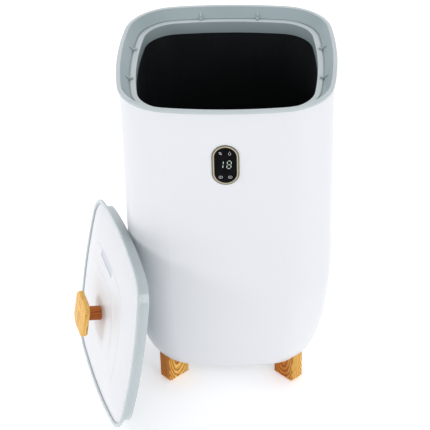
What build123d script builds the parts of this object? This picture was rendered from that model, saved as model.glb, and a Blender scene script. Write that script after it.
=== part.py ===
from build123d import *
import os
from math import atan2, cos, radians, sin, sqrt

# Towel warmer bucket: a heated pot inside an insulated plastic bucket on four
# wooden legs, with a push-key display on the front and a lift-off lid with a
# wooden knob. The lid leans against the left side of the bucket.
# Millimetres, +Z up, front towards -Y. The origin is on the floor, on the
# vertical axis of the bucket.

# ---- overall form ----
rim_top = 489.6             # height of the collar lip above the floor
body_half = 146.4           # half width of the straight upper part
side_bow = 4.1              # side arc radius, as a multiple of the half width
corner_share = 0.49         # corner arc radius, as a multiple of the half width

# ---- outer shell ----
shell_wall = 2.8
base_level = 30.2           # height of the flat bottom above the floor
curve_height = 172.4        # from the flat bottom up to where the sides become straight
curve_top = base_level + curve_height
base_draw_in = 49.5         # how far the sides come in over the curve
base_half = body_half - base_draw_in
curve_steps = 6
floor_thickness = 5.2
base_plate_inset = 16.9     # plate edge inside the edge of the flat bottom
base_plate_half = base_half - base_plate_inset
base_opening_margin = 10.0  # border under the plate edge
base_opening_half = base_plate_half - base_opening_margin
base_screw_inset = 4.5
base_screw_distance = base_plate_half - base_screw_inset
base_boss_radius = 4.0
base_boss_height = 5.0
base_boss_depth = 6.5

# ---- rim collar ----
lip_overhang = 3.6          # how far the lip stands out beyond the shell
lip_height = 4.2
lip_width = 5.5
cone_run = 11.3             # how far the sloping wall comes in
ledge_depth = 13.5          # ledge below the lip top
collar_wall = 2.4
opening_setback = 23.0      # towel opening inside the outer face of the shell
opening_half = body_half - opening_setback
skirt_depth = 31.6          # skirt foot below the lip top
skirt_wall = 2.0
spigot_wall = 2.0
spigot_length = 13.4
spigot_clearance = 0.2
bead_height = 1.6
bead_depth = 0.5
bead_drop = 8.0             # bead below the top of the shell
groove_width = 2.0
groove_depth = 1.0
rib_offset = 40.4
rib_setback = 8.3           # rib nose outside the edge of the opening
rib_reach = opening_half + rib_setback
rib_drop = 4.2              # rib top below the lip top
rib_fall = 4.8              # nose below the rib top
rib_thickness = 3.4
stub_setback = 1.8
stub_reach = opening_half + stub_setback
stub_width = 4.4
stub_height = 2.6

# ---- inner pot and heating ----
pot_wall = 1.2
pot_lift = 93.8             # pot floor above the flat bottom
pot_floor = base_level + pot_lift
pot_corner = 12.0           # outer radius between wall and floor
flange_width = 13.0
flange_half = opening_half + flange_width
pot_screw_offset = 62.0
pot_screw_setback = 8.2
pot_screw_distance = opening_half + pot_screw_setback
pot_boss_radius = 3.5
base_heater_margin = 28.4   # heater plate inside the edge of the opening
base_heater_radius = opening_half - base_heater_margin
stud_inset = 20.0
stud_circle_radius = base_heater_radius - stud_inset
stud_angles = (90, 210, 330)
stud_radius = 2.0
stud_length = 8.6
base_heater_thickness = 4.0
heater_nut_width = 7.0
heater_nut_height = 3.2
wall_heater_thickness = 1.5
heater_lift = 59.0          # band edge above the pot floor
wall_heater_bottom = pot_floor + heater_lift
insulation_thickness = 10.5
insulation_lift = 19.0      # blanket edge above the pot floor
insulation_bottom = pot_floor + insulation_lift
insulation_gap = 14.0       # between the blanket and the foot of the collar skirt
insulation_top = rim_top - skirt_depth - insulation_gap
heater_headroom = 99.0      # bare pot above the band, up to the top of the blanket
wall_heater_top = insulation_top - heater_headroom
insulation_window_margin = 4.0
thermostat_radius = 8.0
thermostat_height = 8.0
thermostat_tab_width = 5.6
thermostat_tab_thickness = 0.8
fuse_radius = 2.2
fuse_length = 14.0
fuse_offset = 36.0

# ---- wooden legs ----
leg_setback = 2.8           # inner end beyond the half width of the flat bottom
leg_inner = base_half + leg_setback
leg_length = 37.5           # along the diagonal
leg_outer = leg_inner + leg_length
leg_thickness = 20.6
leg_flare = 3.4
leg_flare_level = 10.0      # the inner end flares above this height
leg_bend_rise = 9.0         # height of the flare's bend above its foot
leg_bend_width = 0.6        # how far the flare has come in at the bend
leg_edge = 1.2
leg_toe_radius = 4.0
leg_screw_inset = 10.3      # first screw beyond the inner end
leg_screw_spacing = 16.0
leg_boss_margin = 2.0
leg_boss_height = 22.8
leg_boss_top = base_level + leg_boss_height
leg_screw_embed = 30.0
pad_length = 28.0
pad_width = 13.0
pad_thickness = 1.6
pad_proud = 0.8

# ---- base plate and supply board ----
base_plate_thickness = 2.6
base_plate_clearance = 0.3
vent_length = 26.0
vent_width = 3.0
vent_spacing = 8.0
vent_rows = 4
vent_offset = 34.0
board_length = 100.0
board_depth = 70.0
board_centre_y = -10.0
board_thickness = 1.6
board_lift = 9.2            # standoff height above the base plate
board_hole_inset = 5.0
standoff_radius = 3.6
board_corner_radius = 2.0
transformer_size = (32.0, 28.0, 26.0)
transformer_core_width = 19.2
transformer_core_overhang = 4.0
transformer_place = (-24.0, -22.0)
relay_size = (20.0, 15.0, 16.0)
relay_place = (22.0, -28.0)
moulded_edge = 1.0
capacitor_radius = 6.0
capacitor_height = 20.0
capacitor_place = (6.0, 8.0)
capacitor_edge = 0.8
terminal_size = (44.0, 14.0, 14.0)
terminal_inset = 23.0       # block centre inside the rear edge of the bottom opening
terminal_y = base_opening_half - terminal_inset

# ---- cord inlet ----
inlet_lift = 74.8           # above the flat bottom
inlet_level = base_level + inlet_lift
inlet_pocket_radius = 13.0
inlet_recess = 13.9         # flat seat inside the straight upper sides
inlet_seat = body_half - inlet_recess
inlet_pad_radius = 15.0
inlet_pad_thickness = 6.5
gland_flange_radius = 11.0
gland_flange_thickness = 3.0
gland_body_radius = 6.0
gland_bore_radius = 3.5
gland_nut_width = 18.0
gland_nut_height = 5.0
gland_tail = 1.5

# ---- display panel ----
panel_drop = 83.7           # centre of the panel below the lip top
panel_level = rim_top - panel_drop
panel_width = 36.6
panel_height = 61.4
bezel_band = 3.6
bezel_lap = 1.2
bezel_flange = 0.9
bezel_depth = 5.4
bezel_step = 0.8
lens_thickness = 2.2
lens_recess = 0.4
panel_fit = 0.1
module_size = (18.0, 30.0)
module_rise = 5.5
module_gap = 0.4
control_board_width = 30.0
control_board_length = 84.0
control_board_depth = 8.0   # board face behind the outer face of the shell
control_boss_radius = 3.0
control_hole_rise = 37.0
key_offset = 6.3
key_drop = 19.5
key_radius = 3.3
key_proud = 0.3
key_flange_radius = 3.9
key_flange_thickness = 0.8
key_stem_radius = 1.3
key_stem_length = 1.5
key_travel = 0.5
key_edge = 0.25
running_clearance = 0.1
switch_size = 6.2
switch_height = 3.4
plunger_radius = 1.4
plunger_length = 2.3
plunger_clearance = 0.05
ribbon_width = 10.0
ribbon_thickness = 1.0
ribbon_offset = 9.0
ribbon_gap = 1.7            # between the ribbon and the insulation
ribbon_bend_drop = 12.0     # from the control board down to the straight run
ribbon_tail = 3.0           # straight run below the blanket
ribbon_slant_depth = 13.0
ribbon_slant_height = 42.0
ribbon_end_depth = 14.0
ribbon_end_height = 26.0
ribbon_overlap = 3.0        # length that lies on the supply board

# ---- lid ----
lid_margin = 11.7           # lid edge inside the outer edge of the lip
lid_half = body_half + lip_overhang - lid_margin
lid_side_bow = 3.4          # side arc radius, as a multiple of the half width
lid_corner_share = 0.354    # corner arc radius, as a multiple of the half width
lid_flange_thickness = 3.0
lid_depth = 18.3            # skirt foot behind the flange face
cap_inset = 6.0
cap_fit = 0.15
cap_edge = 2.0
cap_sink = 2.2              # cap edge below the flange face
lid_skirt_inset = 9.4
lid_skirt_wall = 2.0
lid_web_inset = 4.2
border_width = 46.3         # from the cap edge in to the outer step
outer_step_half = lid_half - cap_inset - border_width
outer_step_rise = 7.2
terrace_width = 29.0        # from the outer step in to the inner step
inner_step_half = outer_step_half - terrace_width
inner_step_rise = 9.3
step_height = 0.5
dome_rise = 10.4
cap_wall = 2.2
crown_width = 33.0          # from the inner step in to the level middle
cap_centre_half = inner_step_half - crown_width
lid_boss_inset = 56.3
lid_boss_offset = lid_half - lid_boss_inset
lid_boss_radius = 4.0
liner_thickness = 2.0
liner_fit = 0.2
lid_pad_thickness = 8.0
lid_pad_inset = 22.3
lid_pad_half = lid_half - lid_pad_inset
lid_pad_clearance = 1.0
label_length = 60.0
label_width = 21.0
label_offset = -2.0         # sideways from the middle line of the lid
label_inset = 4.0           # label centre inside the outer step
label_sink = 0.3            # label centre below the outer step
label_slope = 6.0
label_depth = 0.6
knob_stem_radius = 10.2
knob_stem_length = 22.8
knob_head_width = 54.2
knob_head_thickness = 7.4
knob_head_chamfer = 9.0
knob_edge = 0.8
knob_screw_radius = 2.5
knob_screw_head_radius = 4.5
knob_screw_head_height = 3.0
knob_screw_embed = 5.0
knob_boss_radius = 13.0
knob_boss_depth = 5.0
knob_washer_radius = 8.0
knob_washer_thickness = 1.2

# ---- how the lid leans on the bucket ----
lid_lean = 10.1             # degrees from upright
lid_heading = 18.35         # degrees round from the left side to the front
lid_sideways = 53.3
lean_gap = 0.3

# ---- fasteners ----
small_screw_radius = 1.5
small_head_radius = 2.8
small_head_height = 2.0
small_screw_embed = 7.0
leg_screw_radius = 2.0
leg_head_radius = 4.0
leg_head_height = 3.0
screw_clearance = 0.05


def corner_centre(half, side_radius, corner_radius):
    """Distance of a corner arc's centre from either middle line."""
    side_centre = half - side_radius
    reach = side_radius - corner_radius
    return (side_centre + sqrt(2 * reach**2 - side_centre**2)) / 2


def soft_square(half, side_radius, corner_radius):
    """Square with slightly bowed sides that run smoothly into round corners."""
    side_centre = half - side_radius
    centre = corner_centre(half, side_radius, corner_radius)
    meet_angle = atan2(centre, centre - side_centre)
    meet_x = side_centre + side_radius * cos(meet_angle)
    meet_y = side_radius * sin(meet_angle)
    tip = centre + corner_radius / sqrt(2)
    with BuildSketch() as outline:
        with BuildLine():
            for quarter in range(4):
                turned = [
                    Vector(x, y).rotate(Axis.Z, 90 * quarter)
                    for x, y in (
                        (meet_x, -meet_y), (half, 0), (meet_x, meet_y), (tip, tip), (meet_y, meet_x),
                    )
                ]
                ThreePointArc(turned[0], turned[1], turned[2])
                ThreePointArc(turned[2], turned[3], turned[4])
        make_face()
    return outline.sketch


def body_outline(half, inset=0.0):
    """Cross-section of the bucket, drawn back by a constant inset."""
    return soft_square(half - inset, side_bow * half - inset, corner_share * half - inset)


def rim_outline(inset):
    """Outline of the collar lip, drawn back by a constant inset."""
    return body_outline(body_half, inset - lip_overhang)


def lid_outline(inset):
    return soft_square(lid_half - inset, lid_side_bow * lid_half - inset, lid_corner_share * lid_half - inset)


def lid_contour(half):
    """Lid outline scaled to a smaller half width."""
    return soft_square(half, lid_side_bow * half, lid_corner_share * half)


def body_envelope(inset, top):
    """Solid bounded by the outside of the shell, drawn in along its normal by the inset."""
    run = body_half - base_half
    drop = curve_top - base_level
    with BuildPart() as envelope:
        for step in range(curve_steps + 1):
            angle = radians(90 * step / curve_steps)
            lean = sqrt((cos(angle) / run) ** 2 + (sin(angle) / drop) ** 2)
            level = curve_top - drop * sin(angle) + inset * sin(angle) / drop / lean
            section_half = base_half + run * cos(angle)
            with BuildSketch(Plane.XY.offset(level)):
                add(body_outline(section_half, inset * cos(angle) / run / lean))
        loft()
        with BuildSketch(Plane.XY.offset(curve_top)):
            add(body_outline(body_half, inset))
        extrude(amount=top - curve_top)
    return envelope.part


def upright_plane(angle, sideways=0.0):
    """Plane with its first axis pointing outward at the angle and its second axis up."""
    outward = Vector(cos(radians(angle)), sin(radians(angle)), 0)
    across = Vector(sin(radians(angle)), -cos(radians(angle)), 0)
    return Plane(origin=across * sideways, x_dir=outward, z_dir=across)


def polar_point(angle, reach, level):
    return Vector(reach * cos(radians(angle)), reach * sin(radians(angle)), level)


def pan_screw(seat, shank_radius, shank_length, head_radius, head_height):
    """Pan head screw on a seat plane: the head stands up from it, the shank goes down."""
    with BuildPart() as screw:
        with BuildSketch(seat):
            Circle(head_radius)
        extrude(amount=head_height)
        fillet(screw.faces().sort_by(Axis(seat.origin, seat.z_dir))[-1].edges(), head_height * 0.35)
        with BuildSketch(seat):
            Circle(shank_radius)
        extrude(amount=-shank_length)
    return screw.part


def small_screw(seat):
    return pan_screw(seat, small_screw_radius, small_screw_embed, small_head_radius, small_head_height)


leg_angles = {"front_left": 225, "front_right": 315, "rear_left": 135, "rear_right": 45}
side_angles = (0, 90, 180, 270)

rim_half = body_half + lip_overhang
shell_top = rim_top - lip_height
ledge_level = rim_top - ledge_depth
skirt_foot = rim_top - skirt_depth
cone_inset = lip_width + cone_run
opening_inset = rim_half - opening_half
pot_inner_inset = opening_inset
pot_outer_inset = pot_inner_inset - pot_wall
pot_bottom = pot_floor - pot_wall
base_plate_top = base_level + base_plate_thickness
bead_level = shell_top - bead_drop
spigot_inset = shell_wall + spigot_clearance

pot_screw_places = []
for side in side_angles:
    for sideways in (-pot_screw_offset, pot_screw_offset):
        pot_screw_places.append(upright_plane(side, sideways).from_local_coords((pot_screw_distance, 0, 0)))
base_screw_places = [polar_point(side, base_screw_distance, 0) for side in side_angles]
leg_screw_distances = (leg_inner + leg_screw_inset, leg_inner + leg_screw_inset + leg_screw_spacing)
leg_screw_places = [polar_point(a, r, 0) for a in leg_angles.values() for r in leg_screw_distances]

# the panel plane faces forwards, with its first axis to the right and its second axis up
panel_plane = Plane(origin=(0, -body_half, panel_level), x_dir=(1, 0, 0), z_dir=(0, -1, 0))
inlet_plane = Plane(origin=(0, inlet_seat, inlet_level), x_dir=(-1, 0, 0), z_dir=(0, 1, 0))
shell_opening = (panel_height - 2 * bezel_lap, panel_width - 2 * bezel_lap)


def stadium(plane_offset, height, width):
    """Upright rounded slot on the panel plane, as a sketch."""
    with BuildSketch(panel_plane.offset(plane_offset)) as slot:
        SlotOverall(height, width, rotation=90)
    return slot.sketch


# ---- outer shell: one moulding, open at the top, with a flat bottom ----
with BuildPart() as shell_bosses:
    with BuildSketch(Plane.XY.offset(base_level)):
        add(body_outline(body_half))
    extrude(amount=floor_thickness)
    for angle in leg_angles.values():
        boss_length = leg_outer - leg_inner + 2 * leg_boss_margin
        with BuildSketch(Plane.XY.offset(base_level).rotated((0, 0, angle))):
            with Locations(((leg_inner + leg_outer) / 2, 0)):
                Rectangle(boss_length, leg_thickness + 2 * leg_boss_margin)
        extrude(amount=leg_boss_top - base_level)
    with BuildSketch(Plane.XY.offset(base_level)):
        with Locations(*base_screw_places):
            Circle(base_boss_radius)
    extrude(amount=floor_thickness + base_boss_height)
    with BuildSketch(inlet_plane.offset(-inlet_pad_thickness)):
        Circle(inlet_pad_radius)
    extrude(amount=inlet_pad_thickness * 2)
    add(body_envelope(shell_wall / 2, shell_top), mode=Mode.INTERSECT)

with BuildPart() as outer_shell:
    add(body_envelope(0, shell_top))
    add(body_envelope(shell_wall, shell_top + 1), mode=Mode.SUBTRACT)
    add(shell_bosses.part)
    with BuildSketch(panel_plane.offset(-control_board_depth)):
        with Locations((0, control_hole_rise), (0, -control_hole_rise)):
            Circle(control_boss_radius)
    extrude(amount=control_board_depth - shell_wall / 2)
    # snap groove for the collar bead
    with BuildSketch(Plane.XY.offset(bead_level - running_clearance)):
        add(body_outline(body_half, shell_wall - bead_depth))
    extrude(amount=bead_height + 2 * running_clearance, mode=Mode.SUBTRACT)
    # recess and opening for the base plate
    with BuildSketch(Plane.XY.offset(base_level)):
        add(body_outline(base_plate_half + base_plate_clearance))
    extrude(amount=base_plate_thickness, mode=Mode.SUBTRACT)
    with BuildSketch(Plane.XY.offset(base_level)):
        add(body_outline(base_opening_half))
    extrude(amount=floor_thickness + 1, mode=Mode.SUBTRACT)
    with BuildSketch(Plane.XY.offset(base_level)):
        with Locations(*base_screw_places):
            Circle(small_screw_radius + screw_clearance)
    extrude(amount=base_plate_thickness + base_boss_depth, mode=Mode.SUBTRACT)
    # leg screw holes
    with BuildSketch(Plane.XY.offset(base_level)):
        with Locations(*leg_screw_places):
            Circle(leg_screw_radius + screw_clearance)
    extrude(amount=leg_boss_top, mode=Mode.SUBTRACT)
    # panel opening and control board screw holes
    add(extrude(stadium(-2 * shell_wall, *shell_opening), amount=4 * shell_wall, mode=Mode.PRIVATE),
        mode=Mode.SUBTRACT)
    with BuildSketch(panel_plane.offset(-control_board_depth)):
        with Locations((0, control_hole_rise), (0, -control_hole_rise)):
            Circle(small_screw_radius + screw_clearance)
    extrude(amount=control_board_depth - shell_wall / 2, mode=Mode.SUBTRACT)
    # cord inlet
    with BuildSketch(inlet_plane):
        Circle(inlet_pocket_radius)
    extrude(amount=inlet_pad_radius, mode=Mode.SUBTRACT)
    with BuildSketch(inlet_plane.offset(-2 * inlet_pad_thickness)):
        Circle(gland_body_radius + screw_clearance)
    extrude(amount=3 * inlet_pad_thickness, mode=Mode.SUBTRACT)

# ---- rim collar: lip, sloping wall, ledge and skirt in one moulding ----
with BuildPart() as rim_collar:
    with BuildSketch(Plane.XY.offset(shell_top)):
        add(rim_outline(0))
    extrude(amount=lip_height)
    fillet(rim_collar.faces().sort_by(Axis.Z)[-1].edges(), lip_height * 0.25)
    slope = cone_run / ledge_depth
    wall_top_inset = lip_width + slope * lip_height - collar_wall
    wall_foot_inset = cone_inset - collar_wall
    with BuildSketch(Plane.XY.offset(shell_top)):
        add(rim_outline(wall_top_inset))
    with BuildSketch(Plane.XY.offset(ledge_level - collar_wall)):
        add(rim_outline(wall_foot_inset))
    loft(ruled=True)
    with BuildSketch(Plane.XY.offset(ledge_level)):
        add(rim_outline(cone_inset))
    with BuildSketch(Plane.XY.offset(rim_top)):
        add(rim_outline(lip_width))
    loft(ruled=True, mode=Mode.SUBTRACT)
    # drain groove at the foot of the wall
    with BuildSketch(Plane.XY.offset(ledge_level - groove_depth)):
        add(rim_outline(cone_inset))
        add(rim_outline(cone_inset + groove_width), mode=Mode.SUBTRACT)
    extrude(amount=groove_depth, mode=Mode.SUBTRACT)
    with BuildSketch(Plane.XY.offset(ledge_level - 2 * collar_wall)):
        add(rim_outline(opening_inset))
    extrude(amount=3 * collar_wall, mode=Mode.SUBTRACT)
    # skirt round the towel opening
    with BuildSketch(Plane.XY.offset(skirt_foot)):
        add(rim_outline(opening_inset - skirt_wall))
        add(rim_outline(opening_inset), mode=Mode.SUBTRACT)
    extrude(amount=ledge_level - collar_wall / 2 - skirt_foot)
    # spigot inside the shell, with its snap bead
    with BuildSketch(Plane.XY.offset(shell_top - spigot_length)):
        add(body_outline(body_half, spigot_inset))
        add(body_outline(body_half, spigot_inset + spigot_wall), mode=Mode.SUBTRACT)
    extrude(amount=spigot_length)
    with BuildSketch(Plane.XY.offset(bead_level)):
        add(body_outline(body_half, spigot_inset - bead_depth))
        add(body_outline(body_half, spigot_inset + spigot_wall / 2), mode=Mode.SUBTRACT)
    extrude(amount=bead_height)
    # bosses that carry the pot flange
    with BuildSketch(Plane.XY.offset(skirt_foot)):
        with Locations(*pot_screw_places):
            Circle(pot_boss_radius)
    extrude(amount=ledge_level - collar_wall / 2 - skirt_foot)
    with BuildSketch(Plane.XY.offset(skirt_foot)):
        with Locations(*pot_screw_places):
            Circle(small_screw_radius + screw_clearance)
    extrude(amount=small_screw_embed, mode=Mode.SUBTRACT)
    # gusset ribs and the stub feet that the lid stands on
    rib_level = rim_top - rib_drop
    rib_wall_reach = rim_half - lip_width - slope * rib_drop
    rib_foot_reach = rim_half - cone_inset
    bite = collar_wall / 3
    for side in side_angles:
        for sideways in (-rib_offset, rib_offset):
            with BuildSketch(upright_plane(side, sideways)):
                with BuildLine():
                    Polyline(
                        (rib_reach, ledge_level - collar_wall / 2),
                        (rib_reach, rib_level - rib_fall),
                        (rib_wall_reach + bite, rib_level),
                        (rib_foot_reach + bite, ledge_level - collar_wall / 2),
                        close=True,
                    )
                make_face()
            extrude(amount=rib_thickness / 2, both=True)
            stub_length = rib_foot_reach - stub_reach
            with BuildSketch(upright_plane(side, sideways).offset(-stub_width / 2)):
                with Locations((rib_foot_reach, ledge_level - collar_wall / 2)):
                    Rectangle(stub_length, stub_height + collar_wall / 2, align=(Align.MAX, Align.MIN))
            extrude(amount=stub_width)

# ---- inner pot: deep drawn, hung by its flange under the collar ----
with BuildPart() as pot_hollow:
    with BuildSketch(Plane.XY.offset(pot_floor)):
        add(rim_outline(pot_inner_inset))
    extrude(amount=skirt_foot + 1 - pot_floor)
    fillet(pot_hollow.faces().sort_by(Axis.Z)[0].edges(), pot_corner - pot_wall)

stud_places = [polar_point(angle, stud_circle_radius, 0) for angle in stud_angles]
with BuildPart() as inner_pot:
    with BuildSketch(Plane.XY.offset(pot_bottom)):
        add(rim_outline(pot_outer_inset))
    extrude(amount=skirt_foot - pot_bottom)
    fillet(inner_pot.faces().sort_by(Axis.Z)[0].edges(), pot_corner)
    with BuildSketch(Plane.XY.offset(skirt_foot - pot_wall)):
        add(rim_outline(rim_half - flange_half))
    extrude(amount=pot_wall)
    add(pot_hollow.part, mode=Mode.SUBTRACT)
    with BuildSketch(Plane.XY.offset(skirt_foot - pot_wall)):
        with Locations(*pot_screw_places):
            Circle(small_screw_radius + screw_clearance)
    extrude(amount=pot_wall, mode=Mode.SUBTRACT)
    with BuildSketch(Plane.XY.offset(pot_bottom)):
        with Locations(*stud_places):
            Circle(stud_radius)
    extrude(amount=-stud_length)

# ---- base heater: aluminium plate on three studs under the pot ----
heater_foot = pot_bottom - base_heater_thickness
with BuildPart() as base_heater:
    with BuildSketch(Plane.XY.offset(heater_foot)):
        Circle(base_heater_radius)
        with Locations(*stud_places):
            Circle(stud_radius + screw_clearance, mode=Mode.SUBTRACT)
    extrude(amount=base_heater_thickness)
    chamfer(base_heater.faces().sort_by(Axis.Z)[0].outer_wire().edges(), base_heater_thickness / 5)

with BuildPart() as heater_nuts:
    with BuildSketch(Plane.XY.offset(heater_foot)):
        with Locations(*stud_places):
            RegularPolygon(heater_nut_width / 2, 6, major_radius=False)
        with Locations(*stud_places):
            Circle(stud_radius + screw_clearance, mode=Mode.SUBTRACT)
    extrude(amount=-heater_nut_height)

with BuildPart() as thermostat:
    with BuildSketch(Plane.XY.offset(heater_foot)):
        Circle(thermostat_radius)
    extrude(amount=-thermostat_height)
    with BuildSketch(Plane.XY.offset(heater_foot - thermostat_height)):
        with Locations((-thermostat_radius / 2, 0), (thermostat_radius / 2, 0)):
            Rectangle(thermostat_tab_thickness, thermostat_tab_width)
    extrude(amount=-thermostat_height)

with BuildPart() as thermal_fuse:
    with BuildSketch(Plane(origin=(0, fuse_offset, heater_foot - fuse_radius), z_dir=(1, 0, 0))):
        Circle(fuse_radius)
    extrude(amount=fuse_length / 2, both=True)

# ---- wall heater: foil band wrapped round the pot ----
with BuildPart() as wall_heater:
    with BuildSketch(Plane.XY.offset(wall_heater_bottom)):
        add(rim_outline(pot_outer_inset - wall_heater_thickness))
        add(rim_outline(pot_outer_inset), mode=Mode.SUBTRACT)
    extrude(amount=wall_heater_top - wall_heater_bottom)

# ---- insulation: blanket round the heater, cut away behind the display ----
insulation_inset = pot_outer_inset - wall_heater_thickness
window_half = control_board_length / 2 + insulation_window_margin
with BuildPart() as pot_insulation:
    with BuildSketch(Plane.XY.offset(insulation_bottom)):
        add(rim_outline(insulation_inset - insulation_thickness))
        add(rim_outline(insulation_inset), mode=Mode.SUBTRACT)
    extrude(amount=insulation_top - insulation_bottom)
    with BuildSketch(panel_plane):
        Rectangle(2 * window_half, 2 * window_half)
    extrude(amount=-body_half / 2, mode=Mode.SUBTRACT)

pot_screw_set = [
    small_screw(Plane(origin=(place.X, place.Y, skirt_foot - pot_wall), z_dir=(0, 0, -1)))
    for place in pot_screw_places
]
with BuildPart() as pot_screws:
    add(pot_screw_set)

# ---- wooden legs: fins set across the corners, shaped to the shell ----
shell_outside = body_envelope(0, shell_top)
legs = {}
foot_pads = {}
for corner, angle in leg_angles.items():
    leg_middle = (leg_inner + leg_outer) / 2
    with BuildPart() as leg:
        with BuildSketch(upright_plane(angle)):
            with BuildLine():
                flare_top = (leg_inner - leg_flare, leg_boss_top)
                flare_foot = (leg_inner, leg_flare_level)
                flare_bend = (leg_inner - leg_bend_width, leg_flare_level + leg_bend_rise)
                heel = (leg_inner, pad_proud)
                toe = (leg_outer - leg_toe_radius, pad_proud)
                toe_side = (leg_outer, pad_proud + leg_toe_radius)
                toe_round = leg_toe_radius * (1 - sqrt(0.5))
                toe_middle = (leg_outer - toe_round, pad_proud + toe_round)
                shoulder = (leg_outer, leg_boss_top)
                Line(heel, toe)
                ThreePointArc(toe, toe_middle, toe_side)
                Line(toe_side, shoulder)
                Line(shoulder, flare_top)
                Spline(flare_top, flare_bend, flare_foot, tangents=((0.25, -1), (0, -1)))
                Line(flare_foot, heel)
            make_face()
        extrude(amount=leg_thickness / 2, both=True)
        fillet(leg.edges().filter_by(Axis.Z), leg_edge)
        add(shell_outside, mode=Mode.SUBTRACT)
        with BuildSketch(Plane.XY.offset(pad_proud).rotated((0, 0, angle))):
            with Locations((leg_middle - leg_toe_radius / 2, 0)):
                Rectangle(pad_length, pad_width)
        extrude(amount=pad_thickness - pad_proud, mode=Mode.SUBTRACT)
        with BuildSketch(Plane.XY.offset(leg_boss_top - leg_screw_embed - 1)):
            with Locations(*[polar_point(angle, reach, 0) for reach in leg_screw_distances]):
                Circle(leg_screw_radius + screw_clearance)
        extrude(amount=leg_boss_top, mode=Mode.SUBTRACT)
    legs[corner] = leg
    with BuildPart() as pad:
        with BuildSketch(Plane.XY.rotated((0, 0, angle))):
            with Locations((leg_middle - leg_toe_radius / 2, 0)):
                RectangleRounded(pad_length, pad_width, pad_width / 4)
        extrude(amount=pad_thickness)
    foot_pads[corner] = pad

leg_screw_set = [
    pan_screw(Plane(origin=(place.X, place.Y, leg_boss_top)), leg_screw_radius, leg_screw_embed,
              leg_head_radius, leg_head_height)
    for place in leg_screw_places
]
with BuildPart() as leg_screws:
    add(leg_screw_set)

# ---- base plate: closes the bottom and carries the supply board ----
board_level = base_plate_top + board_lift
board_holes = [
    (sx * (board_length / 2 - board_hole_inset), board_centre_y + sy * (board_depth / 2 - board_hole_inset))
    for sx in (-1, 1) for sy in (-1, 1)
]
with BuildPart() as base_plate:
    with BuildSketch(Plane.XY.offset(base_level)):
        add(body_outline(base_plate_half))
        with Locations(*base_screw_places):
            Circle(small_screw_radius + screw_clearance, mode=Mode.SUBTRACT)
        for sign in (-1, 1):
            with Locations((sign * vent_offset, board_centre_y)):
                with GridLocations(vent_length, vent_spacing, 1, vent_rows):
                    SlotOverall(vent_length, vent_width, mode=Mode.SUBTRACT)
    extrude(amount=base_plate_thickness)
    with BuildSketch(Plane.XY.offset(base_plate_top)):
        with Locations(*board_holes):
            Circle(standoff_radius)
            Circle(small_screw_radius + screw_clearance, mode=Mode.SUBTRACT)
    extrude(amount=board_lift)

base_screw_set = [
    small_screw(Plane(origin=(place.X, place.Y, base_level), z_dir=(0, 0, -1))) for place in base_screw_places
]
with BuildPart() as base_screws:
    add(base_screw_set)

# ---- supply board and what stands on it ----
board_top = board_level + board_thickness
with BuildPart() as power_board:
    with BuildSketch(Plane.XY.offset(board_level)):
        with Locations((0, board_centre_y)):
            RectangleRounded(board_length, board_depth, board_corner_radius)
        with Locations(*board_holes):
            Circle(small_screw_radius + screw_clearance, mode=Mode.SUBTRACT)
    extrude(amount=board_thickness)

power_board_screw_set = [small_screw(Plane(origin=(x, y, board_top))) for x, y in board_holes]
with BuildPart() as power_board_screws:
    add(power_board_screw_set)

with BuildPart() as transformer:
    with BuildSketch(Plane.XY.offset(board_top)):
        with Locations(transformer_place):
            Rectangle(transformer_size[0], transformer_size[1])
    extrude(amount=transformer_size[2])
    with BuildSketch(Plane.XY.offset(board_top + transformer_size[2] / 4)):
        with Locations(transformer_place):
            Rectangle(transformer_core_width, transformer_size[1] + 2 * transformer_core_overhang)
    extrude(amount=transformer_size[2] / 2)

with BuildPart() as relay:
    with BuildSketch(Plane.XY.offset(board_top)):
        with Locations(relay_place):
            Rectangle(relay_size[0], relay_size[1])
    extrude(amount=relay_size[2])
    fillet(relay.edges().filter_by(Axis.Z), moulded_edge)

with BuildPart() as capacitor:
    with BuildSketch(Plane.XY.offset(board_top)):
        with Locations(capacitor_place):
            Circle(capacitor_radius)
    extrude(amount=capacitor_height)
    fillet(capacitor.faces().sort_by(Axis.Z)[-1].edges(), capacitor_edge)

with BuildPart() as terminal_block:
    with BuildSketch(Plane.XY.offset(base_plate_top)):
        with Locations((0, terminal_y)):
            Rectangle(terminal_size[0], terminal_size[1])
    extrude(amount=terminal_size[2])
    with BuildSketch(Plane.XY.offset(base_plate_top + terminal_size[2] / 2)):
        with Locations((0, terminal_y)):
            with GridLocations(terminal_size[0] / 4, 0, 4, 1):
                Circle(terminal_size[0] / 12)
    extrude(amount=terminal_size[2], mode=Mode.SUBTRACT)

# ---- cord gland in the rear pocket ----
gland_length = inlet_pad_thickness + gland_nut_height + gland_tail
with BuildPart() as cord_gland:
    with BuildSketch(inlet_plane):
        Circle(gland_flange_radius)
    extrude(amount=gland_flange_thickness)
    fillet(cord_gland.faces().sort_by(Axis.Y)[-1].edges(), moulded_edge)
    with BuildSketch(inlet_plane):
        Circle(gland_body_radius)
    extrude(amount=-gland_length)
    with BuildSketch(inlet_plane.offset(-gland_length)):
        Circle(gland_bore_radius)
    extrude(amount=gland_length + gland_flange_thickness, mode=Mode.SUBTRACT)

with BuildPart() as gland_nut:
    with BuildSketch(inlet_plane.offset(-inlet_pad_thickness)):
        RegularPolygon(gland_nut_width / 2, 6, major_radius=False)
        Circle(gland_body_radius + screw_clearance, mode=Mode.SUBTRACT)
    extrude(amount=-gland_nut_height)

# ---- display panel ----
lens_front = bezel_flange - lens_recess
lens_back = lens_front - lens_thickness
lens_size = (panel_height - 2 * bezel_band, panel_width - 2 * bezel_band)
key_places = {"left": (-key_offset, -key_drop), "right": (key_offset, -key_drop)}

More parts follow.
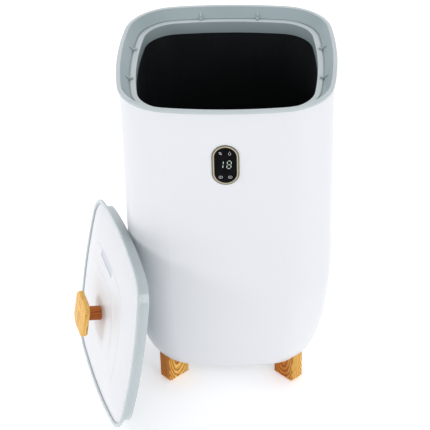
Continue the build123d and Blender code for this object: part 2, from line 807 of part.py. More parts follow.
with BuildPart() as panel_bezel:
    add(extrude(stadium(0, panel_height, panel_width), amount=bezel_flange, mode=Mode.PRIVATE))
    fillet(panel_bezel.faces().sort_by(Axis.Y)[0].edges(), bezel_flange * 0.45)
    tube = stadium(0, shell_opening[0] - 2 * panel_fit, shell_opening[1] - 2 * panel_fit)
    add(extrude(tube, amount=-bezel_depth, mode=Mode.PRIVATE))
    pocket = stadium(lens_back, *lens_size)
    add(extrude(pocket, amount=lens_thickness + 1, mode=Mode.PRIVATE), mode=Mode.SUBTRACT)
    window = stadium(lens_back + 1, lens_size[0] - 2 * bezel_step, lens_size[1] - 2 * bezel_step)
    add(extrude(window, amount=-bezel_depth, mode=Mode.PRIVATE), mode=Mode.SUBTRACT)

with BuildPart() as panel_lens:
    lens_face = stadium(lens_back, lens_size[0] - 2 * panel_fit, lens_size[1] - 2 * panel_fit)
    add(extrude(lens_face, amount=lens_thickness, mode=Mode.PRIVATE))
    with BuildSketch(panel_plane.offset(lens_back)):
        with Locations(*key_places.values()):
            Circle(key_radius + running_clearance)
    extrude(amount=lens_thickness, mode=Mode.SUBTRACT)

with BuildPart() as display_module:
    with BuildSketch(panel_plane.offset(-control_board_depth)):
        with Locations((0, module_rise)):
            Rectangle(*module_size)
    extrude(amount=control_board_depth + lens_back - module_gap)
    fillet(display_module.edges().filter_by(Axis.Y), moulded_edge)

with BuildPart() as control_board:
    with BuildSketch(panel_plane.offset(-control_board_depth)):
        RectangleRounded(control_board_width, control_board_length, board_corner_radius)
        with Locations((0, control_hole_rise), (0, -control_hole_rise)):
            Circle(small_screw_radius + screw_clearance, mode=Mode.SUBTRACT)
    extrude(amount=-board_thickness)

control_screw_depth = control_board_depth + board_thickness
control_screw_set = []
for rise in (control_hole_rise, -control_hole_rise):
    seat = Plane(origin=(0, -body_half + control_screw_depth, panel_level + rise), z_dir=(0, 1, 0))
    control_length = control_screw_depth - shell_wall
    control_screw_set.append(
        pan_screw(seat, small_screw_radius, control_length, small_head_radius, small_head_height))
with BuildPart() as control_board_screws:
    add(control_screw_set)

# ---- push keys, each over a sprung switch ----
key_stem_end = lens_back - key_flange_thickness - key_stem_length
keys = {}
plungers = {}
switches = {}
for side, place in key_places.items():
    with BuildPart() as key:
        with BuildSketch(panel_plane.offset(lens_back)):
            with Locations(place):
                Circle(key_radius)
        extrude(amount=lens_thickness + key_proud)
        fillet(key.faces().sort_by(Axis.Y)[0].edges(), key_edge)
        with BuildSketch(panel_plane.offset(lens_back)):
            with Locations(place):
                Circle(key_flange_radius)
        extrude(amount=-key_flange_thickness)
        with BuildSketch(panel_plane.offset(lens_back - key_flange_thickness)):
            with Locations(place):
                Circle(key_stem_radius)
        extrude(amount=-key_stem_length)
    keys[side] = key
    with BuildPart() as plunger:
        with BuildSketch(panel_plane.offset(key_stem_end)):
            with Locations(place):
                Circle(plunger_radius)
        extrude(amount=-plunger_length)
    plungers[side] = plunger
    with BuildPart() as switch:
        with BuildSketch(panel_plane.offset(-control_board_depth)):
            with Locations(place):
                Rectangle(switch_size, switch_size)
        extrude(amount=switch_height)
        with BuildSketch(panel_plane.offset(key_stem_end - plunger_length - key_travel - running_clearance)):
            with Locations(place):
                Circle(plunger_radius + plunger_clearance)
        extrude(amount=switch_height + plunger_length, mode=Mode.SUBTRACT)
    switches[side] = switch

# ---- ribbon lead from the control board down to the supply board ----
ribbon_line = insulation_inset - insulation_thickness - rim_half - ribbon_gap - ribbon_thickness / 2
board_back = -body_half + control_board_depth + board_thickness / 2
board_foot = panel_level - control_board_length / 2
board_front = board_centre_y - board_depth / 2
with BuildPart() as ribbon_lead:
    with BuildSketch(Plane.YZ.offset(ribbon_offset - ribbon_width / 2)):
        with BuildLine() as route:
            Polyline(
                (board_back, board_foot - ribbon_thickness / 2),
                (ribbon_line, board_foot - ribbon_bend_drop),
                (ribbon_line, insulation_bottom - ribbon_tail),
                (ribbon_line + ribbon_slant_depth, insulation_bottom - ribbon_tail - ribbon_slant_height),
                (board_front - ribbon_end_depth, board_top + ribbon_end_height),
                (board_front + ribbon_overlap, board_top + ribbon_thickness / 2),
            )
        trace(line_width=ribbon_thickness)
    extrude(amount=ribbon_width)

# ---- lid: leans on the bucket, its foot on the floor ----
lean_sin = sin(radians(lid_lean))
lean_cos = cos(radians(lid_lean))
heading_sin = sin(radians(lid_heading))
heading_cos = cos(radians(lid_heading))
body_corner = corner_centre(body_half, side_bow * body_half, corner_share * body_half)
body_support = body_corner * (heading_cos + heading_sin) + corner_share * body_half
lid_advance = (lid_half - lid_skirt_inset) * lean_sin + lid_depth * lean_cos
lid_distance = body_support + lean_gap + lid_advance
lid_centre_level = lid_half * lean_cos + lid_flange_thickness * lean_sin
lid_plane = Plane(
    origin=(
        -heading_cos * lid_distance + heading_sin * lid_sideways,
        -heading_sin * lid_distance - heading_cos * lid_sideways,
        lid_centre_level,
    ),
    x_dir=(heading_sin, -heading_cos, 0),
    z_dir=(-lean_cos * heading_cos, -lean_cos * heading_sin, lean_sin),
)
cap_seat = -cap_sink - cap_edge
web_foot = cap_seat - lid_skirt_wall
liner_foot = -lid_depth + small_head_height
lid_boss_places = [(sx * lid_boss_offset, sy * lid_boss_offset) for sx in (-1, 1) for sy in (-1, 1)]

with BuildPart() as lid_ring:
    with BuildSketch(lid_plane.offset(-lid_flange_thickness)):
        add(lid_outline(0))
    extrude(amount=lid_flange_thickness)
    with BuildSketch(lid_plane.offset(web_foot)):
        add(lid_outline(lid_web_inset))
    extrude(amount=-lid_flange_thickness - web_foot)
    with BuildSketch(lid_plane.offset(-lid_depth)):
        add(lid_outline(lid_skirt_inset))
    extrude(amount=lid_depth + web_foot)
    with BuildSketch(lid_plane.offset(-lid_depth)):
        add(lid_outline(lid_skirt_inset + lid_skirt_wall))
    extrude(amount=lid_depth, mode=Mode.SUBTRACT)
    with BuildSketch(lid_plane.offset(cap_seat)):
        add(lid_outline(cap_inset - cap_fit))
    extrude(amount=-cap_seat, mode=Mode.SUBTRACT)

# the middle of the border, half way out and a little over half way up
border_middle_half = (lid_half - cap_inset + outer_step_half) / 2
border_middle_rise = outer_step_rise * 0.5
with BuildPart() as lid_cap:
    with BuildSketch(lid_plane.offset(cap_seat)):
        add(lid_outline(cap_inset))
    extrude(amount=cap_edge)
    with BuildSketch(lid_plane.offset(-cap_sink)):
        add(lid_outline(cap_inset))
    with BuildSketch(lid_plane.offset(border_middle_rise)):
        add(lid_contour(border_middle_half))
    with BuildSketch(lid_plane.offset(outer_step_rise)):
        add(lid_contour(outer_step_half))
    loft()
    with BuildSketch(lid_plane.offset(outer_step_rise)):
        add(lid_contour(outer_step_half))
    extrude(amount=step_height)
    with BuildSketch(lid_plane.offset(outer_step_rise + step_height)):
        add(lid_contour(outer_step_half))
    with BuildSketch(lid_plane.offset(inner_step_rise)):
        add(lid_contour(inner_step_half))
    loft(ruled=True)
    with BuildSketch(lid_plane.offset(inner_step_rise)):
        add(lid_contour(inner_step_half))
    extrude(amount=step_height)
    with BuildSketch(lid_plane.offset(inner_step_rise + step_height)):
        add(lid_contour(inner_step_half))
    with BuildSketch(lid_plane.offset(dome_rise)):
        add(lid_contour(cap_centre_half))
    loft(ruled=True)
    # hollow underside
    with BuildSketch(lid_plane.offset(cap_seat)):
        add(lid_outline(cap_inset + 2 * cap_wall))
    with BuildSketch(lid_plane.offset(border_middle_rise - cap_wall)):
        add(lid_contour(border_middle_half - cap_wall))
    with BuildSketch(lid_plane.offset(outer_step_rise - cap_wall)):
        add(lid_contour(outer_step_half - cap_wall))
    loft(mode=Mode.SUBTRACT)
    with BuildSketch(lid_plane.offset(outer_step_rise - cap_wall)):
        add(lid_contour(outer_step_half - 2 * cap_wall))
    with BuildSketch(lid_plane.offset(inner_step_rise - cap_wall)):
        add(lid_contour(inner_step_half - cap_wall))
    loft(ruled=True, mode=Mode.SUBTRACT)
    with BuildSketch(lid_plane.offset(cap_seat)):
        with Locations(*lid_boss_places):
            Circle(lid_boss_radius)
    extrude(amount=border_middle_rise - cap_seat)
    with BuildSketch(lid_plane.offset(liner_foot + liner_thickness)):
        with Locations(*lid_boss_places):
            Circle(lid_boss_radius)
    extrude(amount=cap_seat - liner_foot - liner_thickness)
    with BuildSketch(lid_plane.offset(liner_foot + liner_thickness)):
        with Locations(*lid_boss_places):
            Circle(small_screw_radius + screw_clearance)
    extrude(amount=small_screw_embed, mode=Mode.SUBTRACT)
    with BuildSketch(lid_plane.offset(dome_rise - knob_boss_depth)):
        Circle(knob_boss_radius)
    extrude(amount=knob_boss_depth - cap_wall / 2)
    with BuildSketch(lid_plane.offset(dome_rise - 2 * knob_boss_depth)):
        Circle(knob_screw_radius + screw_clearance)
    extrude(amount=3 * knob_boss_depth, mode=Mode.SUBTRACT)
    # bare shallow panel where a label would sit
    label_centre = (label_offset, outer_step_half - label_inset, outer_step_rise - label_sink - label_depth)
    label_plane = Plane(
        origin=lid_plane.from_local_coords(label_centre),
        x_dir=lid_plane.x_dir,
        z_dir=lid_plane.z_dir,
    ).rotated((-label_slope, 0, 0))
    with BuildSketch(label_plane):
        Rectangle(label_length, label_width)
    extrude(amount=5 * label_depth, mode=Mode.SUBTRACT)

with BuildPart() as lid_liner:
    with BuildSketch(lid_plane.offset(liner_foot)):
        add(lid_outline(lid_skirt_inset + lid_skirt_wall + liner_fit))
        with Locations(*lid_boss_places):
            Circle(small_screw_radius + screw_clearance, mode=Mode.SUBTRACT)
    extrude(amount=liner_thickness)

with BuildPart() as lid_insulation:
    with BuildSketch(lid_plane.offset(liner_foot + liner_thickness)):
        add(lid_contour(lid_pad_half))
        with Locations(*lid_boss_places):
            Circle(lid_boss_radius + lid_pad_clearance, mode=Mode.SUBTRACT)
    extrude(amount=lid_pad_thickness)

lid_screw_set = []
for place in lid_boss_places:
    seat_centre = lid_plane.from_local_coords((place[0], place[1], liner_foot))
    lid_screw_set.append(small_screw(Plane(origin=seat_centre, x_dir=lid_plane.x_dir, z_dir=-lid_plane.z_dir)))
with BuildPart() as lid_screws:
    add(lid_screw_set)

# ---- wooden knob: stem and square head with cut corners, on one long screw ----
head_foot = dome_rise + knob_stem_length
with BuildPart() as knob_stem:
    with BuildSketch(lid_plane.offset(dome_rise)):
        Circle(knob_stem_radius)
        Circle(knob_screw_radius + screw_clearance, mode=Mode.SUBTRACT)
    extrude(amount=knob_stem_length)

with BuildPart() as knob_head:
    with BuildSketch(lid_plane.offset(head_foot)) as head_outline:
        Rectangle(knob_head_width, knob_head_width)
        chamfer(head_outline.vertices(), knob_head_chamfer)
    extrude(amount=knob_head_thickness)
    lid_axis = Axis(lid_plane.origin, lid_plane.z_dir)
    fillet(knob_head.faces().sort_by(lid_axis)[-1].edges(), knob_edge)
    fillet(knob_head.faces().sort_by(lid_axis)[0].edges(), knob_edge)
    with BuildSketch(lid_plane.offset(head_foot)):
        Circle(knob_screw_radius + screw_clearance)
    extrude(amount=knob_screw_embed + running_clearance, mode=Mode.SUBTRACT)

washer_top = dome_rise - knob_boss_depth
with BuildPart() as knob_washer:
    with BuildSketch(lid_plane.offset(washer_top)):
        Circle(knob_washer_radius)
        Circle(knob_screw_radius + screw_clearance, mode=Mode.SUBTRACT)
    extrude(amount=-knob_washer_thickness)

knob_screw_seat = washer_top - knob_washer_thickness
with BuildPart() as knob_screw:
    seat_origin = lid_plane.from_local_coords((0, 0, knob_screw_seat))
    knob_screw_length = head_foot + knob_screw_embed - knob_screw_seat
    add(pan_screw(Plane(origin=seat_origin, x_dir=lid_plane.x_dir, z_dir=-lid_plane.z_dir),
                  knob_screw_radius, knob_screw_length, knob_screw_head_radius, knob_screw_head_height))

# ---- write every piece ----
pieces = {
    "outer_shell": outer_shell,
    "rim_collar": rim_collar,
    "inner_pot": inner_pot,
    "base_heater": base_heater,
    "heater_nuts": heater_nuts,
    "thermostat": thermostat,
    "thermal_fuse": thermal_fuse,
    "wall_heater": wall_heater,
    "pot_insulation": pot_insulation,
    "pot_screws": pot_screws,
    "leg_screws": leg_screws,
    "base_plate": base_plate,
    "base_screws": base_screws,
    "power_board": power_board,
    "power_board_screws": power_board_screws,
    "transformer": transformer,
    "relay": relay,
    "capacitor": capacitor,
    "terminal_block": terminal_block,
    "cord_gland": cord_gland,
    "gland_nut": gland_nut,
    "panel_bezel": panel_bezel,
    "panel_lens": panel_lens,
    "display_module": display_module,
    "control_board": control_board,
    "control_board_screws": control_board_screws,
    "ribbon_lead": ribbon_lead,
    "lid_ring": lid_ring,
    "lid_cap": lid_cap,
    "lid_liner": lid_liner,
    "lid_insulation": lid_insulation,
    "lid_screws": lid_screws,
    "knob_stem": knob_stem,
    "knob_head": knob_head,
    "knob_washer": knob_washer,
    "knob_screw": knob_screw,
}
for corner in leg_angles:
    pieces["leg_" + corner] = legs[corner]
    pieces["foot_pad_" + corner] = foot_pads[corner]
for side in key_places:
    pieces["key_" + side] = keys[side]
    pieces["switch_plunger_" + side] = plungers[side]
    pieces["switch_" + side] = switches[side]

os.makedirs("parts", exist_ok=True)
for name, piece in pieces.items():
    piece.part.label = name
    export_step(piece.part, f"parts/{name}.step")
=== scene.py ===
from math import atan2, cos, pi, radians, sin, sqrt, tan

import bmesh
import bpy
from mathutils import Matrix, Vector


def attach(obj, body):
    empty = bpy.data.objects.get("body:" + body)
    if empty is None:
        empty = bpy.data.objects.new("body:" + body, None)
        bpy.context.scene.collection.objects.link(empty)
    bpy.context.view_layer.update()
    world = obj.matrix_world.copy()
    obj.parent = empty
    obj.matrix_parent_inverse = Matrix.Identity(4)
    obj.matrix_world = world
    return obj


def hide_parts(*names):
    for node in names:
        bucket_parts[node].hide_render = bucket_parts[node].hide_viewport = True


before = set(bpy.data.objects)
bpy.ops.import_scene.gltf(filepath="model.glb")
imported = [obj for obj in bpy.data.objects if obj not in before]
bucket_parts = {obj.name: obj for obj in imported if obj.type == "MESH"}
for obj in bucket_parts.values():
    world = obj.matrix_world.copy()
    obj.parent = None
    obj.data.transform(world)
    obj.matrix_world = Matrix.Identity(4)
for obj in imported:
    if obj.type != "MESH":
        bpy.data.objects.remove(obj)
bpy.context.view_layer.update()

# ---- camera and studio ----
# The bucket stands on a pale seamless sweep in a white studio, seen from the front and well
# above through a long lens. Soft boxes stand on the right, in front, overhead and on the
# left. The sweep is painted board: matt, with a very faint mottle.
eye = Vector((0.06555, -2.03616, 1.61510))
eye_turn, eye_tilt, eye_roll = radians(-2.457), radians(34.268), radians(-1.471)
sensor_width, focal_length = 36, 142.68
ahead = Vector((sin(eye_turn) * cos(eye_tilt), cos(eye_turn) * cos(eye_tilt), -sin(eye_tilt)))
level_right = Vector((cos(eye_turn), -sin(eye_turn), 0))
level_up = level_right.cross(ahead)
eye_right = level_right * cos(eye_roll) + level_up * sin(eye_roll)
eye_up = level_up * cos(eye_roll) - level_right * sin(eye_roll)


def placement(origin, x_axis, y_axis, z_axis):
    """Matrix that stands a thing at an origin, with its own axes along three directions."""
    return Matrix.Translation(origin) @ Matrix((x_axis, y_axis, z_axis)).transposed().to_4x4()


camera_data = bpy.data.cameras.new("studio_camera")
camera_data.sensor_width = sensor_width
camera_data.lens = focal_length
camera = bpy.data.objects.new("studio_camera", camera_data)
bpy.context.scene.collection.objects.link(camera)
camera.matrix_world = placement(eye, eye_right, eye_up, -ahead)
bpy.context.scene.camera = camera
bpy.context.scene.view_settings.view_transform = "Standard"


def put(tree, kind, inputs=None, **settings):
    """Adds a node: settings by name, inputs by socket name or number, as values or links."""
    made = tree.nodes.new("ShaderNode" + kind)
    for name, value in settings.items():
        setattr(made, name, value)
    for name, value in (inputs or {}).items():
        if isinstance(value, bpy.types.NodeSocket):
            tree.links.new(value, made.inputs[name])
        else:
            made.inputs[name].default_value = value
    return made


def new_finish(name, **sockets):
    """New material: the material, its node tree, its shader and the piece's own coordinates."""
    material = bpy.data.materials.new(name)
    material.use_nodes = True
    tree = material.node_tree
    shader = tree.nodes["Principled BSDF"]
    for socket, value in sockets.items():
        shader.inputs[socket.replace("_", " ")].default_value = value
    return material, tree, shader, put(tree, "TexCoord").outputs["Object"]


def noise(tree, place, scale, detail, roughness=0.5):
    """Cloudy factor over the piece, finer as the scale goes up."""
    inputs = {"Vector": place, "Scale": scale, "Detail": detail, "Roughness": roughness}
    return put(tree, "TexNoise", inputs).outputs["Fac"]


def two_tone(tree, factor, first, second, low=0.35, high=0.65):
    """Runs from the first colour to the second as the factor rises from low to high."""
    ramp = put(tree, "ValToRGB", {"Fac": factor})
    for stop, position, tint in zip(ramp.color_ramp.elements, (low, high), (first, second)):
        stop.position = position
        stop.color = (*tint, 1)
    return ramp.outputs["Color"]


def colour_with(tree, shader, colour):
    tree.links.new(colour, shader.inputs["Base Color"])


def wear_it(piece, material):
    """Puts the material on every slot of a piece."""
    if not piece.material_slots:
        piece.data.materials.append(material)
    for slot in piece.material_slots:
        slot.material = material


def add_mesh(name, shape, material=None, smooth_angle=35):
    """Makes an object of a bmesh, shaded smooth except at edges sharper than the angle."""
    bmesh.ops.recalc_face_normals(shape, faces=shape.faces)
    mesh = bpy.data.meshes.new(name)
    shape.to_mesh(mesh)
    shape.free()
    mesh.shade_smooth()
    mesh.set_sharp_from_angle(angle=radians(smooth_angle))
    made = bpy.data.objects.new(name, mesh)
    bpy.context.scene.collection.objects.link(made)
    if material:
        wear_it(made, material)
    return made


board_white, tree, shader, place = new_finish(
    "painted_board", Roughness=0.75, Emission_Strength=0.36)
mottle = noise(tree, place, scale=3.0, detail=4.0)
board_tint = two_tone(tree, mottle, (0.93, 0.93, 0.94), (0.95, 0.95, 0.96))
colour_with(tree, shader, board_tint)
tree.links.new(board_tint, shader.inputs["Emission Color"])

sweep_side, sweep_front, sweep_back, sweep_height = 7.0, -9.0, 3.4, 4.0
sweep_radius, sweep_steps = 1.2, 16
bend_start = sweep_back - sweep_radius
sweep_line = [(sweep_front, 0.0), (0.0, 0.0), (bend_start, 0.0)]
for step in range(1, sweep_steps + 1):
    turn = radians(90 * step / sweep_steps)
    sweep_line.append((bend_start + sweep_radius * sin(turn), sweep_radius * (1 - cos(turn))))
sweep_line.append((sweep_back, sweep_height))
sweep = bmesh.new()
sweep_rows = []
for y, z in sweep_line:
    sweep_rows.append([sweep.verts.new((x, y, z)) for x in (-sweep_side, 0.0, sweep_side)])
for low, high in zip(sweep_rows, sweep_rows[1:]):
    for k in range(2):
        sweep.faces.new((low[k], low[k + 1], high[k + 1], high[k]))
studio_sweep = add_mesh("studio_sweep", sweep, board_white, smooth_angle=80)

bucket_middle = Vector((0.0, 0.0, 0.25))


def soft_box(name, place, width, height, power):
    """Rectangular soft light at a place, turned to face the middle of the bucket."""
    lamp = bpy.data.lights.new(name, "AREA")
    lamp.shape = "RECTANGLE"
    lamp.size = width
    lamp.size_y = height
    lamp.energy = power
    light = bpy.data.objects.new(name, lamp)
    light.location = place
    light.rotation_mode = "QUATERNION"
    light.rotation_quaternion = (bucket_middle - Vector(place)).to_track_quat("-Z", "Y")
    bpy.context.scene.collection.objects.link(light)


soft_box("right_light", (1.8, -1.7, 1.25), width=1.4, height=1.4, power=19.5)
soft_box("front_light", (-0.3, -2.6, 1.2), width=1.6, height=1.2, power=3.6)
soft_box("top_light", (0.1, 0.2, 2.2), width=1.8, height=1.8, power=11)
soft_box("left_light", (-2.05, -0.65, 1.15), width=0.55, height=0.55, power=14)

studio_air = bpy.data.worlds.new("studio_air")
studio_air.use_nodes = True
air_glow = studio_air.node_tree.nodes["Background"].inputs
air_glow["Color"].default_value = (0.97, 0.98, 1.0, 1)
air_glow["Strength"].default_value = 0.47
bpy.context.scene.world = studio_air


def roughen(tree, shader, factor, low, high):
    """Runs the shader's roughness from low to high as the factor goes from 0 to 1."""
    span = put(tree, "MapRange", {"Value": factor, "To Min": low, "To Max": high})
    tree.links.new(span.outputs["Result"], shader.inputs["Roughness"])


def grain_bump(tree, shader, height, strength, distance):
    bump = put(tree, "Bump", {"Height": height, "Strength": strength, "Distance": distance})
    tree.links.new(bump.outputs["Normal"], shader.inputs["Normal"])


white_plastic, tree, shader, place = new_finish("white_gloss_plastic", Specular_IOR_Level=0.28)
drift = noise(tree, place, scale=7.0, detail=3.0)
haze = noise(tree, place, scale=38.0, detail=6.0, roughness=0.6)
peel = noise(tree, place, scale=420.0, detail=2.0)
colour_with(tree, shader, two_tone(tree, drift, (0.750, 0.761, 0.788), (0.756, 0.767, 0.793)))
roughen(tree, shader, haze, 0.28, 0.34)
grain_bump(tree, shader, peel, strength=0.004, distance=0.0002)
wear_it(bucket_parts["outer_shell"], white_plastic)

# ---- rim collar ----
# One moulding in blue-grey plastic: a rolled lip on the shell, a wall sloping in to a narrow
# ledge with a drain groove, and a skirt round the towel opening. Eight gusset ribs stand
# against the wall, each with a stub foot on the ledge. Satin, lightly spark-eroded.
grey_plastic, tree, shader, place = new_finish("grey_satin_plastic", Specular_IOR_Level=0.45)
drift = noise(tree, place, scale=9.0, detail=3.0)
pits = noise(tree, place, scale=1500.0, detail=3.0)
haze = noise(tree, place, scale=60.0, detail=5.0)
colour_with(tree, shader, two_tone(tree, drift, (0.325, 0.395, 0.415), (0.350, 0.420, 0.440)))
roughen(tree, shader, haze, 0.28, 0.42)
grain_bump(tree, shader, pits, strength=0.12, distance=0.00008)

# the lip, the ledge and the lid's ring are polished glossy in the tool; the paler grey is also a
# painted highlight, a lit copy of the collar's grey
grey_polished_and_lit, tree, shader, place = new_finish(
    "grey_polished_plastic", Coat_Weight=0.4, Coat_Roughness=0.10)
drift = noise(tree, place, scale=9.0, detail=3.0)
haze = noise(tree, place, scale=60.0, detail=5.0)
colour_with(tree, shader, two_tone(tree, drift, (0.475, 0.533, 0.548), (0.503, 0.562, 0.577)))
roughen(tree, shader, haze, 0.20, 0.30)
grain_bump(tree, shader, haze, strength=0.04, distance=0.0002)

rim_top, ledge_level = 0.4896, 0.4761
rim_half, rim_side_radius, rim_corner_radius = 0.1500, 0.60384, 0.075336
quarter_turns = ((1, 0), (0, 1), (-1, 0), (0, -1))


def corner_centre(half, side_radius, corner_radius):
    """How far from the middle, both ways, the arc of a soft square's corner is centred."""
    side_centre = half - side_radius
    reach = side_radius - corner_radius
    return (side_centre + sqrt(2 * reach**2 - side_centre**2)) / 2


def soft_square(half, side_radius, corner_radius, steps=14):
    """Points round a square with slightly bowed sides and round corners."""
    side_centre = half - side_radius
    centre = corner_centre(half, side_radius, corner_radius)
    meet = atan2(centre, centre - side_centre)
    points = []
    for c, s in quarter_turns:
        for x0, y0, radius, start, end in ((side_centre, 0.0, side_radius, -meet, meet),
                                           (centre, centre, corner_radius, meet, pi / 2 - meet)):
            for step in range(steps):
                angle = start + (end - start) * step / steps
                x, y = x0 + radius * cos(angle), y0 + radius * sin(angle)
                points.append((x * c - y * s, x * s + y * c))
    return points


def rounded_line(corners, steps=4):
    """Closed line through (x, y, radius) corners, each rounded by an arc of its radius."""
    line = []
    for k, (x, y, radius) in enumerate(corners):
        if radius <= 0:
            line.append((x, y))
            continue
        here = Vector((x, y))
        before = (Vector(corners[k - 1][:2]) - here).normalized()
        after = (Vector(corners[(k + 1) % len(corners)][:2]) - here).normalized()
        half_angle = before.angle(after) / 2
        run = radius / max(tan(half_angle), 1e-6)
        centre = here + (before + after).normalized() * (radius / sin(half_angle))
        start, end = here + before * run - centre, here + after * run - centre
        swing = start.angle_signed(end)
        for step in range(steps + 1):
            point = centre + Matrix.Rotation(-swing * step / steps, 2) @ start
            line.append((point.x, point.y))
    return line


def join_rings(shape, rings, closed=False):
    """Bridges rings of equal count with four-sided faces; returns the rings' vertices."""
    rows = [[shape.verts.new(point) for point in ring] for ring in rings]
    pairs = list(zip(rows, rows[1:]))
    if closed:
        pairs.append((rows[-1], rows[0]))
    count = len(rows[0])
    for low, high in pairs:
        for k in range(count):
            after = (k + 1) % count
            shape.faces.new((low[k], low[after], high[after], high[k]))
    return rows


def prism(shape, outline, start, end):
    """Closed prism between two copies of a flat outline, each moved by its own vector."""
    rows = join_rings(shape, [[point + move for point in outline] for move in (start, end)])
    for row in rows:
        shape.faces.new(row)


def rim_ring(inset, level):
    """Ring round the bucket at a level, set in from the lip's outline."""
    outline = soft_square(rim_half - inset, rim_side_radius - inset, rim_corner_radius - inset)
    return [(x, y, level) for x, y in outline]


# corners of the collar's section: inset from the lip's outline, level, edge radius
collar_section = [
    (0.0000, 0.4854, 0.0003), (0.0000, rim_top, 0.0016), (0.0055, rim_top, 0.0009),
    (0.0168, ledge_level, 0.0), (0.0168, 0.4746, 0.0003), (0.0188, 0.4746, 0.0003),
    (0.0188, ledge_level, 0.0004), (0.0266, ledge_level, 0.0013), (0.0266, 0.4580, 0.0006),
    (0.0246, 0.4580, 0.0006), (0.0246, 0.4737, 0.0), (0.0144, 0.4737, 0.0),
    (0.0086, 0.4824, 0.0), (0.0086, 0.4720, 0.0004), (0.0066, 0.4720, 0.0004),
    (0.0066, 0.4854, 0.0)]
collar_shape = bmesh.new()
collar_rings = [rim_ring(inset, level) for inset, level in rounded_line(collar_section)]
join_rings(collar_shape, collar_rings, closed=True)
rim_collar = add_mesh("collar_moulding", collar_shape, grey_plastic)
rim_collar.data.materials.append(grey_polished_and_lit)
# faces that look up on the lip and the ledge take the paler grey as painted highlight; the walls
# keep the darker grey as their painted shade
lip_depth, ledge_band = 0.0036, 0.0014
for face in rim_collar.data.polygons:
    level, upward = face.center.z, face.normal.z
    on_lip = level > rim_top - lip_depth and upward > -0.1
    on_ledge = abs(level - ledge_level) < ledge_band and upward > 0.7
    on_slope = 0.60 < upward < 0.68
    if (on_lip or on_ledge) and not on_slope:
        face.material_index = 1
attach(rim_collar, "bucket")
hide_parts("rim_collar")

# the ribs and their stub feet: noses, heels and backs are distances out from the axis
rib_nose, rib_heel, rib_back, nose_ease = 0.1317, 0.1335, 0.1417, 0.0008
rib_nose_top, rib_top, rib_width, rib_offset = 0.4806, 0.4854, 0.0034, 0.0404
stub_nose, stub_back, stub_width, stub_height = 0.1252, 0.1345, 0.0044, 0.0026
root_depth, nose_steps = 0.0012, 8
gusset_section = (
    (rib_nose, ledge_level - root_depth), (rib_nose, rib_nose_top - nose_ease),
    (rib_nose + nose_ease, rib_nose_top), (rib_back, rib_top),
    (rib_heel, ledge_level - root_depth))
up = Vector((0, 0, 1))
rib_shape = bmesh.new()
for side in range(4):
    out = Vector((cos(side * pi / 2), sin(side * pi / 2), 0))
    across = Vector((-out.y, out.x, 0))
    for offset in (-rib_offset, rib_offset):
        base = across * offset
        gusset = [base + out * reach + up * level for reach, level in gusset_section]
        prism(rib_shape, gusset, across * (-rib_width / 2), across * (rib_width / 2))
        foot = base + up * ledge_level
        half_stub = stub_width / 2
        stub = []
        for step in range(nose_steps + 1):
            turn = radians(90 + 180 * step / nose_steps)
            stub.append(foot + out * (stub_nose + half_stub + half_stub * cos(turn))
                        + across * (half_stub * sin(turn)))
        stub += [foot + out * stub_back - across * half_stub,
                 foot + out * stub_back + across * half_stub]
        prism(rib_shape, stub, up * -root_depth, up * stub_height)
collar_ribs = add_mesh("collar_ribs", rib_shape, grey_plastic)


def settle(piece, smooth_angle=35):
    """Applies the piece's modifiers to its mesh."""
    bpy.context.view_layer.update()
    evaluated = piece.evaluated_get(bpy.context.evaluated_depsgraph_get())
    final = bpy.data.meshes.new_from_object(evaluated)
    old = piece.data
    piece.modifiers.clear()
    piece.data = final
    bpy.data.meshes.remove(old)
    final.shade_smooth()
    final.set_sharp_from_angle(angle=radians(smooth_angle))


def ease_edges(piece, width, segments, angle):
    """Rounds the piece's edges that are sharper than the angle."""
    round_over = piece.modifiers.new("ease", "BEVEL")
    round_over.width = width
    round_over.segments = segments
    round_over.limit_method = "ANGLE"
    round_over.angle_limit = radians(angle)
    settle(piece)


ease_edges(collar_ribs, width=0.0005, segments=2, angle=40)
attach(collar_ribs, "bucket")

# the round mark of the moulding gate, on the middle of the back slope
slope_out, slope_up = Vector((0, -0.767, 0.642)), Vector((0, 0.642, 0.767))
gate_middle, gate_radius = Vector((0.0, 0.1388, 0.4828)), 0.0032
gate_sink, gate_rise, gate_points = 0.0006, 0.0002, 24
gate_disc = []
for k in range(gate_points):
    turn = 2 * pi * k / gate_points
    gate_disc.append(gate_middle + Vector((gate_radius * cos(turn), 0, 0))
                     + slope_up * (gate_radius * sin(turn)))
gate_shape = bmesh.new()
prism(gate_shape, gate_disc, slope_out * -gate_sink, slope_out * gate_rise)
gate_mark = add_mesh("collar_gate_mark", gate_shape, grey_plastic)
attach(gate_mark, "bucket")

# ---- inner pot ----
# Deep drawn aluminium tub with a dark non-stick coat, hung by its flange under the collar.
# The coat is satin black with fine pale specks.
pot_coat, tree, shader, place = new_finish("dark_pot_coating", Specular_IOR_Level=0.5)
specks = noise(tree, place, scale=900.0, detail=2.0)
haze = noise(tree, place, scale=25.0, detail=4.0)
pot_tint = two_tone(tree, specks, (0.010, 0.011, 0.012), (0.030, 0.034, 0.036), 0.55, 0.75)
colour_with(tree, shader, pot_tint)
roughen(tree, shader, haze, 0.30, 0.48)
grain_bump(tree, shader, specks, strength=0.10, distance=0.0001)
wear_it(bucket_parts["inner_pot"], pot_coat)

# ---- display panel ----
# Upright slot-shaped panel let into the front: a champagne metallised ring round a glossy
# black lens, with two push keys through the lens and pale symbols printed on it.
panel_level, panel_straight = 0.4059, 0.0124
ring_inner, ring_outer = 0.0146, 0.0184
lens_face, key_face = -0.1469, -0.1472
print_thickness, print_sink = 0.00006, 0.00002


def tinted(tree, colour, cast, share=1.0):
    """Multiplies a colour by a cast, as far as the share."""
    blend = put(tree, "Mix", {0: share, 6: colour, 7: cast}, data_type="RGBA",
                blend_type="MULTIPLY")
    return blend.outputs[2]


champagne_painted_light, tree, shader, place = new_finish(
    "champagne_ring", Metallic=0.9, Coat_Weight=0.3, Coat_Roughness=0.08)
brushing = noise(tree, place, scale=700.0, detail=3.0)
